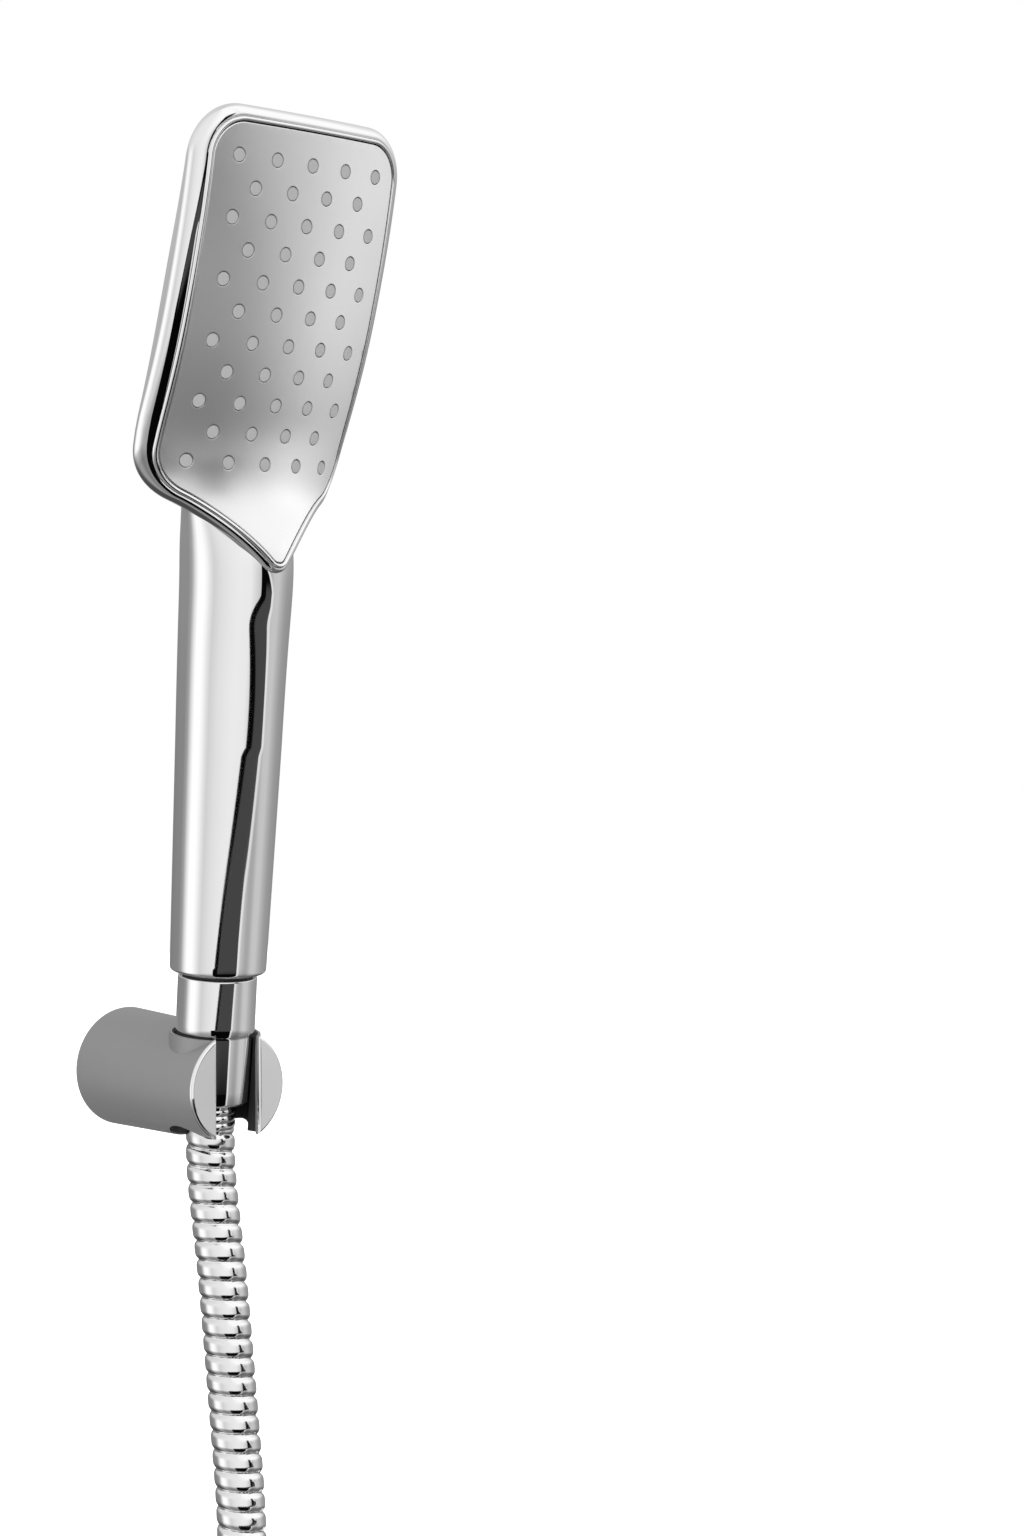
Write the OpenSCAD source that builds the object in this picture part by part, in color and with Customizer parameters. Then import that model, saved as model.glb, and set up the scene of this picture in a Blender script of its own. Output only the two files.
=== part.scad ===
// Handheld shower set: a paddle-shaped handset that stands in a round wall holder, with its metal hose.
// The wall is the plane y = 0, the room is on the -Y side and +Z is up. Millimetres.

/* [Holder] */
// Radius of the holder where it meets the wall
holder_wall_r = 18; // [17.5:0.1:20]
// Radius of the holder at its front face
holder_front_r = 16.4; // [16:0.1:17.5]
// Length of the holder, from the wall to its front face
holder_len = 59; // [59:0.5:64]
// Width of the slot that lets the hose into the socket
slot_w = 15; // [15:0.1:16]
// Thickness of the dark liner in the socket and the slot
liner_t = 1; // [0.8:0.1:1.2]
// Distance between the two wall screw holes
screw_spacing = 18; // [16:0.5:19]

/* [Handset] */
// Distance of the socket's axis from the wall, level with the holder's centre
socket_y = 46; // [45:0.1:46]
// Lean of the socket and the handset away from the wall
lean = 5; // [4:0.5:6]
// How far the handset is turned in its socket when it is at rest
turn = 7.5; // [0:0.5:12]
// Radius of the handle at its lower end
handle_r = 14.1; // [13.9:0.1:14.5]
// Growth of the handle's radius for each millimetre of height
handle_taper = 0.02; // [0.015:0.001:0.022]
// Height of the handle's lower end
handle_from = 33.5; // [33.5:0.1:34]
// Half the width of the face plate
plate_half_w = 34.6; // [34:0.1:35]
// Height of the face plate's upper edge
plate_top = 274; // [273:0.5:276]
// Distance between neighbouring nozzles in one row
nozzle_pitch = 13.2; // [12.8:0.1:13.4]
// Distance between two rows of nozzles
row_pitch = 8.35; // [8.2:0.05:8.4]
// Height of the highest row of nozzles
first_row = 265; // [264:0.5:266]
// Radius of one silicone nozzle
nozzle_r = 1.85; // [1.7:0.05:1.9]

/* [Hose] */
// Outer diameter of the hose
hose_d = 14.5; // [14:0.1:14.5]
// Radius at the middle of the coil's turns
coil_r = 73; // [73:1:76]
// Radius of the bend that leads the hose into the coil
entry_r = 58; // [58:1:60]
// Distance between neighbouring turns of the coil
turn_pitch = 14.8; // [14.8:0.1:15.5]

/* [Hidden] */
$fn = 64;

// Small clearance between pieces that are assembled together
gap = 0.1;
// Clearance between the conical nut and the socket that it stands in
seat_gap = 0.3;

// ---- holder ----
cavity_r = 15;
core_r = 13.5;
cavity_depth = 8;
core_depth = 31;
front_lip = 2;
grub_r = 2;
// Round boss under the nut's collar, which fills the corner beside the holder's top
boss_r = 13.4;
grub_y = 4.5;
screw_hole_r = 2.3;

// ---- conical nut, heights along the handset's axis ----
shank_from = -5.3;
collar_from = 15.5;
collar_to = 32.3;
shank_r_low = 10.9;
shank_r_high = 11.3;
collar_r = 11.6;
// Widening of the conical shank, and of its socket, per millimetre of height
shank_slope = (shank_r_high - shank_r_low) / (collar_from - shank_from);
thread_r = 10.45;
seat_r = 9.6;
thread_from = 17.5;
guide_r = 6.05;
guide_to = 3.7;
nut_inner_r = 8.2;
sleeve_len = 7.5;
sleeve_r = 7.2;
insert_bore_r = 4.2;
hose_exit = shank_from - 0.3 - sleeve_len;

// ---- inlet, heights along the handset's axis ----
inlet_from = 22.1;
inlet_to = 52;
inlet_thread_r = 10.3;
inlet_body_r = 12.1;
inlet_bore_r = 7.5;
handle_wall = 1.8;
tube_r = 6;
tube_bore_r = 4.5;
tube_from = 44.2;
tube_to = 176;
spigot_r = 7.6;
spigot_from = 164;
spigot_to = 190;
valve_from = 28.3;
valve_to = 39.7;
poppet_from = 30.4;
guide_from = 37.2;

// ---- paddle: the face is a surface that bows across and falls back towards the neck ----
// Height, distance in front of the handle's axis, and bow across, for knots down the middle of the face
FACE_KNOTS = [
    [140, 18.2, 0.020], [153.5, 17.8, 0.020], [163, 14.6, 0.016], [172, 11.1, 0.0145],
    [182, 9.8, 0.0114], [198, 13.0, 0.009], [215, 17.1, 0.0078], [232, 20.1, 0.0068],
    [248, 22.1, 0.0057], [265, 23.5, 0.0047], [285, 24.6, 0.0040]
];
// Height and distance in front of the axis for knots down the middle of the back
BACK_KNOTS = [
    [140, -12.0, 0], [160, -9.5, 0], [175, -7.6, 0], [188, -6.0, 0], [205, -3.8, 0],
    [220, -1.4, 0], [238, 2.4, 0], [262, 9.3, 0], [285, 14.5, 0]
];
corner_r = 10;
low_corner_r = 13.3;
low_corner_h = 185.3;
low_corner_turn = 66;
tail_tip = 153.6;
plate_t = 1.2;
mat_from = -1.45;
mat_to = -2.6;
chamber_front = -2.95;
chamber_back = -6;
rim_proud = 0.45;
rim_gap = 0.25;
rim_outer = 1.5;
rim_depth = -5.4;
pocket_depth = -6.2;
shoulder_r = 3.5;
// Flat ledge of the shell beside the rim, before the shoulder falls away
ledge = 0.3;
shell_flare = rim_outer + shoulder_r;
// The shoulder draws in to low_reach of its width over reach_h millimetres above reach_from
low_reach = 0.55;
reach_from = 172;
reach_h = 22;
// The back is drawn in to back_scale and back_inset of the outline, round a quarter turn
back_scale = 0.85;
back_inset = -6;
shell_wall = 2.4;
face_middle = 222;
rows = 11;
SCREW_SITES = [[-25, 257], [25, 257], [-25, 196], [25, 196]];

// Weights of a cubic through four knots, at t between the middle two
function cubic(a, b, c, d, t) =
    b + 0.5 * t * (c - a + t * (2 * a - 5 * b + 4 * c - d + t * (3 * (b - c) + d - a)));
// Index of the last knot that is not above h
function knot_at(k, h, i = 0) = i >= len(k) - 2 || k[i + 1][0] > h ? i : knot_at(k, h, i + 1);
// Column c of a knot table at height h, smooth through the knots
function along(k, h, c) =
    let (
        i = knot_at(k, h),
        a = max(i - 1, 0),
        d = min(i + 2, len(k) - 1),
        t = (h - k[i][0]) / (k[i + 1][0] - k[i][0])
    )
    cubic(k[a][c], k[i][c], k[i + 1][c], k[d][c], min(max(t, 0), 1));
// How far the face and the back stand in front of the handle's axis
function face_at(u, h) = along(FACE_KNOTS, h, 1) - along(FACE_KNOTS, h, 2) * u * u / 2;
function back_at(h) = along(BACK_KNOTS, h, 1);

// Points of an arc about c from angle a to b
function arc(c, r, a, b, n) = [for (i = [0:n]) c + r * [cos(a + (b - a) * i / n), sin(a + (b - a) * i / n)]];
function bezier(p, n) = [
    for (i = [1:n]) let (t = i / n, s = 1 - t)
        s * s * s * p[0] + 3 * s * s * t * p[1] + 3 * s * t * t * p[2] + t * t * t * p[3]
];
// Right half of the paddle's outline, from the middle of the upper edge round to the lower corner
paddle_half = concat(
    [[0, plate_top]],
    [[12, plate_top]],
    arc([plate_half_w - corner_r, plate_top - corner_r], corner_r, 90, 0, 5),
    [[plate_half_w, 240]],
    [[plate_half_w, 214]],
    arc([plate_half_w - low_corner_r, low_corner_h], low_corner_r, 0, -low_corner_turn, 5)
);
paddle_end = paddle_half[len(paddle_half) - 1];
// Lower edge of the face plate, which sweeps into a V that lies on the handle
tail_half = concat(
    bezier([paddle_end, [20, 170.4], [9.5, 163], [2.3, 155.1]], 7),
    [[0, tail_tip]]
);
// Lower edge of the pieces behind the plate, which have no tail
round_half = bezier([paddle_end, [22, 170.8], [12, 170], [0, 170]], 8);

// Whole outline from its right half
function both(half) = concat(half, [for (i = [len(half) - 2:-1:1]) [-half[i][0], half[i][1]]]);
plate_outline = both(concat(paddle_half, tail_half));
round_outline = both(concat(paddle_half, round_half));
// Outward direction at point i of an outline that runs clockwise
function outward(p, i) =
    let (n = len(p), d = p[(i + 1) % n] - p[(i + n - 1) % n])
    [-d[1], d[0]] / norm(d);
// How far an offset of o past the rim reaches at height h
function reach(o, h) =
    let (t = min(max((h - reach_from) / reach_h, 0), 1))
    o <= rim_outer ? o : rim_outer + (o - rim_outer) * (low_reach + (1 - low_reach) * t * t * (3 - 2 * t));
// An outline scaled by s about the middle of the face and then moved outward by o
function ring2(p, s, o) = [
    for (i = [0:len(p) - 1])
        [0, face_middle] + s * (p[i] - [0, face_middle]) + reach(o, p[i][1]) * outward(p, i)
];
// That ring on the face, m of the way from the face to the back, and off in front of that
function ring3(p, s, o, m, off) = [
    for (q = ring2(p, s, o)) [q[0], -((1 - m) * face_at(q[0], q[1]) + m * back_at(q[1]) + off), q[1]]
];
// Closed solid through a list of rings [outline, s, o, m, off], with a point in the middle at each end
module ringed(rings) {
    n = len(plate_outline);
    k = len(rings);
    mid = face_middle;
    function cap(r) = [0, -((1 - r[3]) * face_at(0, mid) + r[3] * back_at(mid) + r[4]), mid];
    pts = concat(
        [for (r = rings) each ring3(r[0], r[1], r[2], r[3], r[4])],
        [cap(rings[0]), cap(rings[k - 1])]
    );
    polyhedron(
        pts,
        concat(
            [for (i = [0:n - 1]) [n * k, i, (i + 1) % n]],
            [for (j = [0:k - 2]) for (i = [0:n - 1]) each [
                [n * j + i, n * (j + 1) + i, n * j + (i + 1) % n],
                [n * j + (i + 1) % n, n * (j + 1) + i, n * (j + 1) + (i + 1) % n]
            ]],
            [for (i = [0:n - 1]) [n * k + 1, n * (k - 1) + (i + 1) % n, n * (k - 1) + i]]
        )
    );
}
// Sheet that follows the face between two offsets
module sheet(p, o, front, back) {
    ringed([
        [p, 0.4, 0, 0, front], [p, 0.75, 0, 0, front], [p, 1, o, 0, front],
        [p, 1, o, 0, back], [p, 0.75, 0, 0, back], [p, 0.4, 0, 0, back]
    ]);
}
// Closed frame that follows an outline: corners is a list of [outward offset, offset from the face]
module frame(p, corners) {
    n = len(p);
    k = len(corners);
    pts = [for (c = corners) each ring3(p, 1, c[0], 0, c[1])];
    polyhedron(pts, [
        for (j = [0:k - 1]) for (i = [0:n - 1]) each [
            [n * j + i, n * ((j + 1) % k) + i, n * j + (i + 1) % n],
            [n * j + (i + 1) % n, n * ((j + 1) % k) + i, n * ((j + 1) % k) + (i + 1) % n]
        ]
    ]);
}

// Socket's axis, upright and with its origin level with the holder's centre
module on_axis() {
    translate([0, -socket_y, 0]) rotate([lean, 0, 0]) children();
}
// The handset's own frame, which is turned about that axis
module on_handset() {
    on_axis() rotate([0, 0, turn]) children();
}
// Ring about the current Z axis
module tube(r_out, r_in, from, to) {
    translate([0, 0, from]) difference() {
        cylinder(r = r_out, h = to - from);
        translate([0, 0, -1]) cylinder(r = r_in, h = to - from + 2);
    }
}
module disc(r, from, to) {
    translate([0, 0, from]) cylinder(r = r, h = to - from);
}
// Cylinder along the wall's normal, between two distances from the wall
module along_wall_normal(r1, r2, from, to) {
    translate([0, -from, 0]) rotate([90, 0, 0]) cylinder(r1 = r1, r2 = r2, h = to - from);
}
// Places one child at every nozzle
module at_nozzles() {
    for (row = [0:rows - 1]) {
        count = row % 2 == 0 ? 5 : 4;
        h = first_row - row * row_pitch;
        for (i = [0:count - 1]) {
            u = (i - (count - 1) / 2) * nozzle_pitch;
            translate([u, -face_at(u, h), h]) rotate([90, 0, 0]) children();
        }
    }
}

// ---- holder ----
module socket_cone(extra) {
    r = shank_r_low + shank_slope * (-30 - shank_from) + extra;
    on_axis() translate([0, 0, -30]) cylinder(r1 = r, r2 = r + 70 * shank_slope, h = 70);
}
module spot_face() {
    on_axis() disc(boss_r, collar_from - seat_gap, 40);
}
module slot(width, front) {
    translate([-width / 2, -front, -25]) cube([width, front - socket_y, 50]);
}
module holder_body() color([0.62, 0.62, 0.63]) difference() {
    union() {
        along_wall_normal(holder_wall_r, holder_front_r, 0, holder_len);
        on_axis() disc(boss_r, 0, collar_from - seat_gap);
    }
    along_wall_normal(cavity_r, cavity_r, -1, cavity_depth);
    along_wall_normal(core_r, core_r, 0, core_depth);
    socket_cone(seat_gap + liner_t);
    spot_face();
    slot(slot_w + 2 * liner_t, holder_len - front_lip);
    slot(slot_w, holder_len + 4);
    translate([0, -grub_y, -25]) cylinder(r = grub_r + gap, h = 15);
}
module socket_liner() color([0.05, 0.05, 0.055]) difference() {
    intersection() {
        along_wall_normal(holder_wall_r - 0.5, holder_front_r - 0.5, 5, holder_len - front_lip);
        union() {
            socket_cone(seat_gap + liner_t);
            slot(slot_w + 2 * liner_t, holder_len - front_lip);
        }
    }
    socket_cone(seat_gap);
    spot_face();
    slot(slot_w, holder_len + 4);
}
module wall_plate() color([0.55, 0.55, 0.56]) difference() {
    along_wall_normal(cavity_r - 0.2, cavity_r - 0.2, 0, cavity_depth - 0.4);
    for (side = [-1, 1]) translate([0, 0, side * screw_spacing / 2]) {
        along_wall_normal(screw_hole_r, screw_hole_r, -1, cavity_depth);
        along_wall_normal(screw_hole_r, 2 * screw_hole_r, cavity_depth - 2.6, cavity_depth);
    }
    translate([0, -grub_y, -20]) cylinder(r = grub_r + 0.2, h = 7.8);
}
module grub_screw() color([0.4, 0.4, 0.42]) translate([0, -grub_y, -17.4]) difference() {
    cylinder(r = grub_r, h = 5);
    translate([0, 0, -1]) cylinder(r = 1, h = 3, $fn = 6);
}

// ---- handset ----
function handle_r_at(h) = handle_r + handle_taper * (h - handle_from);
module handle_cone(inset, from, to) {
    translate([0, 0, from]) cylinder(r1 = handle_r_at(from) - inset, r2 = handle_r_at(to) - inset, h = to - from);
}
// Height, half width, back and front of the neck that fairs the handle into the paddle's back
NECK = [
    [150, 16.43, -16.43, 16.43], [158, 16.59, -16.5, 15.4], [166, 16.75, -15.6, 12.2], [174, 17.2, -13.9, 7.6],
    [182, 18.2, -11.9, 6], [190, 19.8, -9.8, 5], [198, 21.6, -7.6, 6], [206, 23, -5.2, 8],
    [214, 23, -2.8, 10]
];
// Slice i of the neck with its surface moved inward
module neck_slice(i, inset) {
    n = NECK[i];
    translate([0, -(n[2] + n[3]) / 2, n[0]])
        scale([n[1] - inset, (n[3] - n[2]) / 2 - inset, 1]) cylinder(r = 1, h = 0.02);
}
module neck(inset) {
    for (i = [0:len(NECK) - 2]) hull() {
        neck_slice(i, inset);
        neck_slice(i + 1, inset);
    }
}
module rear_shell() color([0.8, 0.8, 0.82]) on_handset() difference() {
    union() {
        handle_cone(0, handle_from, NECK[0][0]);
        neck(0);
        ringed([
            [plate_outline, 0.5, 0, 0, -2],
            for (a = [90:-30:0]) [
                plate_outline, 1, rim_outer + ledge + (shoulder_r - ledge) * cos(a), 0,
                shoulder_r * (sin(a) - 1) - 0.3
            ],
            for (b = [25:25:75]) [
                round_outline, back_scale + (1 - back_scale) * cos(b),
                back_inset + (shell_flare - back_inset) * cos(b), sin(b), (shoulder_r + 0.3) * (sin(b) - 1)
            ],
            for (s = [1, 0.7, 0.35]) [round_outline, back_scale * s, back_inset * s, 1, 0]
        ]);
        for (s = SCREW_SITES) translate([s[0], 0, s[1]]) rotate([90, 0, 0])
            translate([0, 0, back_at(s[1]) + 1]) cylinder(r = 3, h = 5);
    }
    handle_cone(handle_wall, handle_from - 1, NECK[0][0] + 1);
    neck(handle_wall);
    ringed([
        [round_outline, 0.5, 0, 0, 8], [round_outline, 1, -2.5, 0, 8], [round_outline, 1, -2.5, 0.3, -1],
        [round_outline, 0.86, -3, 0.75, 1], [round_outline, 0.8, -6, 1, shell_wall + 0.6],
        [round_outline, 0.45, -3, 1, shell_wall]
    ]);
    sheet(plate_outline, rim_outer + gap, 14, pocket_depth);
    sheet(round_outline, 0, 8, chamber_back - 0.3);
}
module front_rim() color([0.85, 0.85, 0.87]) on_handset() frame(plate_outline, [
    [rim_gap, 0], [0.5, 0.35], [0.9, rim_proud], [1.3, 0.2], [rim_outer, -0.5], [rim_outer, rim_depth],
    [rim_gap, rim_depth]
]);
module face_plate() color([0.72, 0.72, 0.73]) on_handset() difference() {
    sheet(plate_outline, 0, 0, -plate_t);
    at_nozzles() translate([0, 0, -6]) cylinder(r = nozzle_r + 0.2, h = 12);
}
module nozzle_mat() color([0.6, 0.6, 0.6]) on_handset() union() {
    sheet(round_outline, -1.5, mat_from, mat_to);
    at_nozzles() translate([0, 0, mat_to + 0.4]) cylinder(r = nozzle_r, h = 0.2 - mat_to - 0.4);
}
module chamber_gasket() color([0.08, 0.08, 0.08]) on_handset() frame(round_outline, [
    [-3.3, -3], [-2.3, -3], [-2.3, -3.9], [-3.3, -3.9]
]);
module spray_chamber() color([0.9, 0.9, 0.88]) on_handset() difference() {
    union() {
        difference() {
            sheet(round_outline, -0.3, chamber_front, chamber_back);
            frame(round_outline, [[-3.5, 2], [-2.1, 2], [-2.1, -4.1], [-3.5, -4.1]]);
            ringed([
                for (r = [[0.5, 2], [0.84, 2], [0.84, -4.6], [0.5, -4.6]]) [round_outline, r[0], 0, 0, r[1]]
            ]);
        }
        disc(spigot_r, spigot_from, spigot_to);
    }
    disc(tube_r + 0.05, spigot_from - 1, tube_to + 0.2);
    disc(tube_bore_r, tube_to, spigot_to - 3);
    translate([0, 0, spigot_to - 8]) rotate([90, 0, 0]) cylinder(r = 3.5, h = 20);
    for (s = SCREW_SITES) translate([s[0], 0, s[1]]) rotate([90, 0, 0]) {
        translate([0, 0, back_at(s[1]) + 4]) cylinder(r = 1.7, h = 30);
    }
}
module chamber_screws() color([0.7, 0.7, 0.72]) on_handset() {
    for (s = SCREW_SITES) translate([s[0], 0, s[1]]) rotate([90, 0, 0]) {
        translate([0, 0, back_at(s[1]) + 6.2]) cylinder(r = 1.5, h = face_at(s[0], s[1]) - back_at(s[1]) - 10.9);
        translate([0, 0, face_at(s[0], s[1]) - 4.9]) cylinder(r = 2.6, h = 1.2);
    }
}
module water_tube() color([0.85, 0.85, 0.85]) on_handset() difference() {
    tube(tube_r - gap, tube_bore_r, tube_from, tube_to);
    for (h = [tube_from + 3, tube_to - 5]) tube(tube_r + 1, tube_r - 1.1, h, h + 1.8);
}
module tube_orings() color([0.07, 0.07, 0.07]) on_handset() {
    for (h = [tube_from + 3.9, tube_to - 4.1]) translate([0, 0, h])
        rotate_extrude() translate([tube_r - 0.5, 0]) circle(r = 0.5);
}
module inlet_fitting() color([0.1, 0.1, 0.11]) on_handset() difference() {
    union() {
        disc(inlet_thread_r, inlet_from, handle_from + 2);
        disc(inlet_body_r, handle_from + 1.5, inlet_to);
    }
    disc(inlet_bore_r, inlet_from - 1, 40);
    disc(5, 39, 45);
    disc(tube_r + 0.05, 44, inlet_to + 1);
}
module filter_screen() color([0.75, 0.75, 0.77]) on_handset() difference() {
    disc(inlet_bore_r - gap, 22.5, 23.5);
    for (ring = [[2.2, 6], [4.6, 12]]) for (i = [0:ring[1] - 1]) rotate([0, 0, i * 360 / ring[1]])
        translate([ring[0], 0, 20]) cylinder(r = 0.8, h = 5);
}
module flow_regulator() color([0.2, 0.45, 0.3]) on_handset() difference() {
    disc(inlet_bore_r - gap, 24, 28);
    for (i = [0:7]) rotate([0, 0, i * 45]) translate([4.2, 0, 20]) cylinder(r = 1, h = 10);
}
module check_valve_body() color([0.85, 0.85, 0.8]) on_handset() difference() {
    disc(inlet_bore_r - gap, valve_from, valve_to);
    disc(3.6, valve_from - 1, poppet_from + 1);
    disc(6, poppet_from - gap, guide_from);
    disc(1.36, guide_from - 1, valve_to + 1);
    disc(5, guide_from + 1.5, valve_to + 1);
    for (i = [0:5]) rotate([0, 0, i * 60]) translate([3.6, 0, guide_from - 1]) cylinder(r = 1.2, h = 4);
}
module check_valve_poppet() color([0.2, 0.2, 0.22]) on_handset() union() {
    disc(5, poppet_from, poppet_from + 1.6);
    disc(1.3, poppet_from + 1, guide_from + 2);
}
module check_valve_spring() color([0.7, 0.7, 0.72]) on_handset() {
    turns = 4;
    steps = 12;
    sides = 6;
    wire_r = 0.3;
    low = poppet_from + 2.1;
    rise = guide_from - 0.5 - low;
    count = turns * steps;
    pts = [
        for (i = [0:count]) for (j = [0:sides - 1])
            let (a = i * 360 / steps, b = j * 360 / sides, r = 4.3 + wire_r * cos(b))
            [r * cos(a), r * sin(a), low + rise * i / count + wire_r * sin(b)]
    ];
    polyhedron(pts, concat(
        [[for (j = [0:sides - 1]) j]],
        [for (i = [0:count - 1]) for (j = [0:sides - 1]) [
            sides * i + j, sides * (i + 1) + j, sides * (i + 1) + (j + 1) % sides, sides * i + (j + 1) % sides
        ]],
        [[for (j = [sides - 1:-1:0]) sides * count + j]]
    ));
}

// ---- conical nut and the hose's upper end ----
module cone_nut() color([0.8, 0.8, 0.82]) on_handset() difference() {
    union() {
        translate([0, 0, shank_from]) cylinder(r1 = shank_r_low, r2 = shank_r_high, h = collar_from - shank_from);
        disc(collar_r, collar_from, collar_to);
    }
    disc(guide_r, shank_from - 1, guide_to + 1);
    disc(nut_inner_r, guide_to, thread_from + 1);
    disc(thread_r, thread_from, collar_to + 1);
}
module nut_washer() color([0.08, 0.08, 0.08]) on_handset()
    tube(thread_r - 0.4, 5, thread_from + 2.2, thread_from + 4.4);
module swivel_insert() color([0.75, 0.62, 0.35]) on_axis() difference() {
    union() {
        disc(guide_r - 0.05, hose_exit + 0.1, thread_from + 1);
        disc(thread_r - 0.4, thread_from + 0.2, thread_from + 2);
    }
    disc(insert_bore_r, hose_exit - 1, thread_from + 3);
}
module hose_sleeve() color([0.8, 0.8, 0.82]) on_axis() difference() {
    union() {
        disc(sleeve_r - 0.5, hose_exit, hose_exit + sleeve_len);
        for (i = [0:2]) disc(sleeve_r, hose_exit + 0.4 + 2.4 * i, hose_exit + 2 + 2.4 * i);
    }
    disc(guide_r, hose_exit - 1, hose_exit + sleeve_len + 1);
}

// ---- hose ----
coil_x = 46;
coil_z = -238;
lead_y = -60;
entry_x = entry_r;
entry_z = coil_z - sqrt((coil_r - entry_r) * (coil_r - entry_r) - (entry_x - coil_x) * (entry_x - coil_x));
entry_angle = atan2(entry_z - coil_z, entry_x - coil_x);
ramp_angle = 166;
coil_sweep = 2 * 360 + 180 - entry_angle;
tail_len = 42;
sides = 10;
exit_point = [0, -socket_y - hose_exit * sin(lean), hose_exit * cos(lean)];
// Points of the hanging stretch, from the sleeve down to the bend into the coil
LEAD = [
    exit_point, [0, -44.7, -20], [0, -45.3, -28], [0, -46.6, -36], [0, -48.1, -44], [0, -49.7, -52],
    [0, -51.6, -64], [0, -53.3, -76], [0, -55.2, -90], [0, -57.1, -104], [0, -58.9, -118], [0, lead_y, -134],
    [0, lead_y, -160], [0, lead_y, -190], [0, lead_y, -220], [0, lead_y, entry_z]
];
// Bend that brings the hose from straight down into the coil's lowest quarter
entry_bend = [
    for (i = [1:14]) let (a = 180 + i * (180 + entry_angle) / 14)
        [entry_x + entry_r * cos(a), lead_y, entry_z + entry_r * sin(a)]
];
function ease(t) = let (c = min(max(t, 0), 1)) c * c * (3 - 2 * c);
// Each turn starts beside the last one and moves one pitch towards the wall; s is the sweep in degrees
function turn_y(s) = lead_y + turn_pitch * (floor(s / 360) + ease((s - 360 * floor(s / 360)) / ramp_angle));
end_point = [coil_x - coil_r, turn_y(coil_sweep), coil_z];
// Stretches of the first and the last turn that lie beside the block
function turn_points(from, to, n) = [
    for (i = [0:n]) let (s = from + (to - from) * i / n, a = entry_angle + s)
        [coil_x + coil_r * cos(a), turn_y(s), coil_z + coil_r * sin(a)]
];
first_turn = turn_points(12, 132, 10);
last_turn = turn_points(720 + 40, coil_sweep, 16);
// Swept tube through a list of points
module swept(p, r) {
    n = len(p);
    function dir(i) = let (d = p[min(i + 1, n - 1)] - p[max(i - 1, 0)]) d / norm(d);
    pts = [
        for (i = [0:n - 1])
            let (d = dir(i), side = cross([0, 1, 0], d), a = side / norm(side), b = cross(d, a))
            for (j = [0:sides - 1]) p[i] + r * (cos(j * 360 / sides) * a + sin(j * 360 / sides) * b)
    ];
    polyhedron(pts, concat(
        [[for (j = [0:sides - 1]) j]],
        [for (i = [0:n - 2]) for (j = [0:sides - 1]) [
            sides * i + j, sides * (i + 1) + j, sides * (i + 1) + (j + 1) % sides, sides * i + (j + 1) % sides
        ]],
        [[for (j = [sides - 1:-1:0]) sides * (n - 1) + j]]
    ));
}
module hose_tube() color([0.78, 0.78, 0.8]) {
    swept(concat(LEAD, entry_bend, first_turn), hose_d / 2);
    swept(concat(last_turn, [end_point - [0, 0, tail_len / 2], end_point - [0, 0, tail_len]]), hose_d / 2);
}
block_far = -turn_y(0) + hose_d / 2 - turn_pitch;
block_near = -turn_y(coil_sweep) - hose_d / 2 + turn_pitch;
// The coil's two whole turns, drawn as one solid ring
module hose_coil() color([0.78, 0.78, 0.8]) {
    translate([coil_x, 0, coil_z]) rotate([90, 0, 0]) rotate_extrude()
        translate([coil_r - hose_d / 2, block_near]) square([hose_d, block_far - block_near]);
}
tie_t = 1.4;
tie_w = 12;
tie_gap = 0.2;
tie_angles = [entry_angle + 12, 155];
module coil_ties() color([0.1, 0.1, 0.1]) {
    for (a = tie_angles) {
        far = hose_d / 2 - turn_y(a - entry_angle) + tie_gap;
        high = hose_d + 2 * tie_gap;
        deep = 2 * turn_pitch + hose_d + 2 * tie_gap;
        translate([coil_x, -far, coil_z]) rotate([0, -a, 0]) translate([coil_r, 0, 0]) difference() {
            translate([-high / 2 - tie_t, -tie_t, -tie_w / 2]) cube([high + 2 * tie_t, deep + 2 * tie_t, tie_w]);
            translate([-high / 2, 0, -tie_w]) cube([high, deep, 2 * tie_w]);
        }
    }
}

// ---- hose's supply end, which hangs below the tail ----
module at_supply() {
    translate(end_point - [0, 0, tail_len]) mirror([0, 0, 1]) children();
}
module supply_sleeve() color([0.8, 0.8, 0.82]) at_supply() tube(8.2, guide_r, 0.05, 14);
module supply_insert() color([0.75, 0.62, 0.35]) at_supply() difference() {
    union() {
        disc(guide_r - 0.05, 0.2, 18);
        disc(seat_r - gap, 17, 18.8);
    }
    disc(insert_bore_r, -1, 20);
}
module supply_nut() color([0.8, 0.8, 0.82]) at_supply() difference() {
    union() {
        translate([0, 0, 14.3]) cylinder(r = 13.8, h = 10, $fn = 6);
        disc(11.6, 14.3, 30);
    }
    disc(guide_r, 13, 18);
    disc(seat_r, 16.7, 21.5);
    disc(thread_r, 21, 31);
}
module supply_washer() color([0.08, 0.08, 0.08]) at_supply() tube(seat_r - gap, 5, 19, 21);

holder_body();
socket_liner();
wall_plate();
grub_screw();
rear_shell();
front_rim();
face_plate();
nozzle_mat();
chamber_gasket();
spray_chamber();
chamber_screws();
water_tube();
tube_orings();
inlet_fitting();
filter_screen();
flow_regulator();
check_valve_body();
check_valve_poppet();
check_valve_spring();
cone_nut();
nut_washer();
swivel_insert();
hose_sleeve();
hose_tube();
hose_coil();
coil_ties();
supply_sleeve();
supply_insert();
supply_nut();
supply_washer();
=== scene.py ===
"""Handheld shower set in its round wall holder: looks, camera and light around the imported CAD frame."""
import math

import bmesh
import bpy
import numpy as np
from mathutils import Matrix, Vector
from mathutils.geometry import delaunay_2d_cdt


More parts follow.
